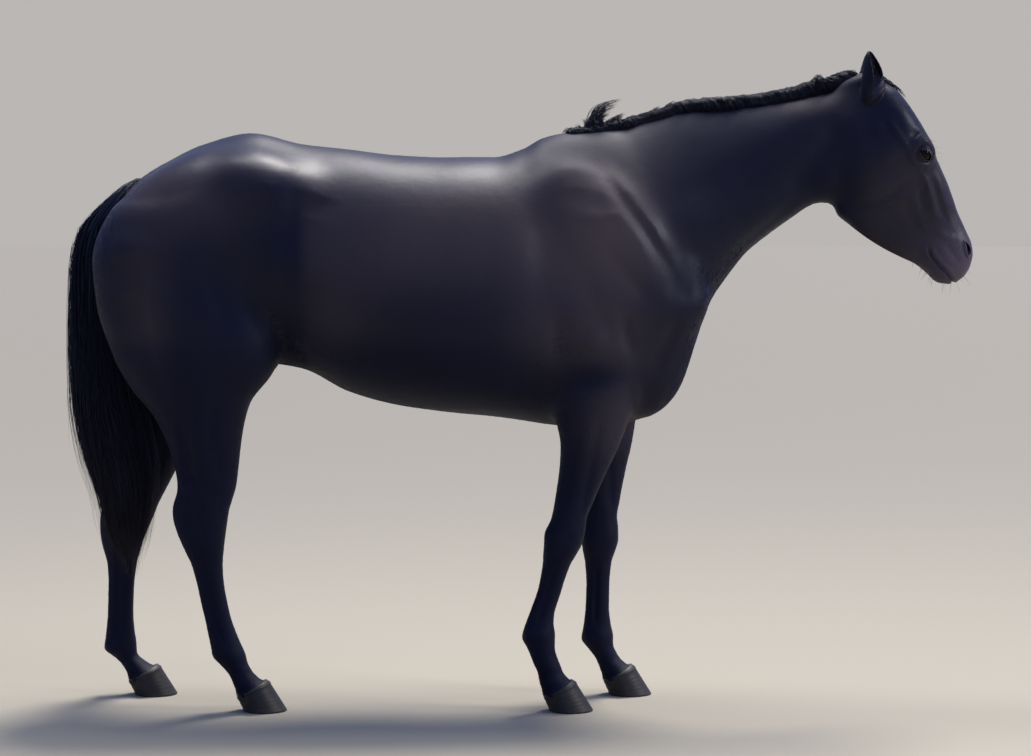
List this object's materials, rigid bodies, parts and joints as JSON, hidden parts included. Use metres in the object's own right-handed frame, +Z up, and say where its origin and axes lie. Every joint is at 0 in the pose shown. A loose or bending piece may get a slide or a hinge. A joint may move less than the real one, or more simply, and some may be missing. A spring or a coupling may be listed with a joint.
{
  "type": "horse model",
  "caption": "Life-size still model of a dark seal-brown riding horse standing in profile, head raised, mane on the far side and tail hanging.",
  "frame": {"origin": "centre of the bounding box's base, on the floor under the belly", "axes": "+X towards the muzzle, +Y towards the horse's left side, +Z up"},
  "size_m": [2.462, 0.6078, 1.7831],
  "materials": {
    "ear_left": "short glossy seal-brown coat",
    "ear_right": "short glossy seal-brown coat",
    "eye_left": "wet dark brown",
    "eye_right": "wet dark brown",
    "forelock": "long black hair",
    "head": "short glossy seal-brown coat",
    "hoof_fore_left": "dark horn, satin",
    "hoof_fore_right": "dark horn, satin",
    "hoof_hind_left": "dark horn, satin",
    "hoof_hind_right": "dark horn, satin",
    "lower_leg_fore_left": "short glossy seal-brown coat",
    "lower_leg_fore_right": "short glossy seal-brown coat",
    "lower_leg_hind_left": "short glossy seal-brown coat",
    "lower_leg_hind_right": "short glossy seal-brown coat",
    "mane": "long black hair",
    "neck": "short glossy seal-brown coat",
    "tail": "long black hair",
    "trunk": "short glossy seal-brown coat",
    "upper_leg_fore_left": "short glossy seal-brown coat",
    "upper_leg_fore_right": "short glossy seal-brown coat",
    "upper_leg_hind_left": "short glossy seal-brown coat",
    "upper_leg_hind_right": "short glossy seal-brown coat"
  },
  "bodies": {
    "root": {"ear_left": "ear_left", "ear_right": "ear_right", "eye_left": "eye_left", "eye_right": "eye_right", "forelock": "forelock", "head": "head", "hoof_fore_left": "hoof_fore_left", "hoof_fore_right": "hoof_fore_right", "hoof_hind_left": "hoof_hind_left", "hoof_hind_right": "hoof_hind_right", "lower_leg_fore_left": "lower_leg_fore_left", "lower_leg_fore_right": "lower_leg_fore_right", "lower_leg_hind_left": "lower_leg_hind_left", "lower_leg_hind_right": "lower_leg_hind_right", "mane": "mane", "neck": "neck", "tail": "tail", "trunk": "trunk", "upper_leg_fore_left": "upper_leg_fore_left", "upper_leg_fore_right": "upper_leg_fore_right", "upper_leg_hind_left": "upper_leg_hind_left", "upper_leg_hind_right": "upper_leg_hind_right"}
  },
  "joints": []
}
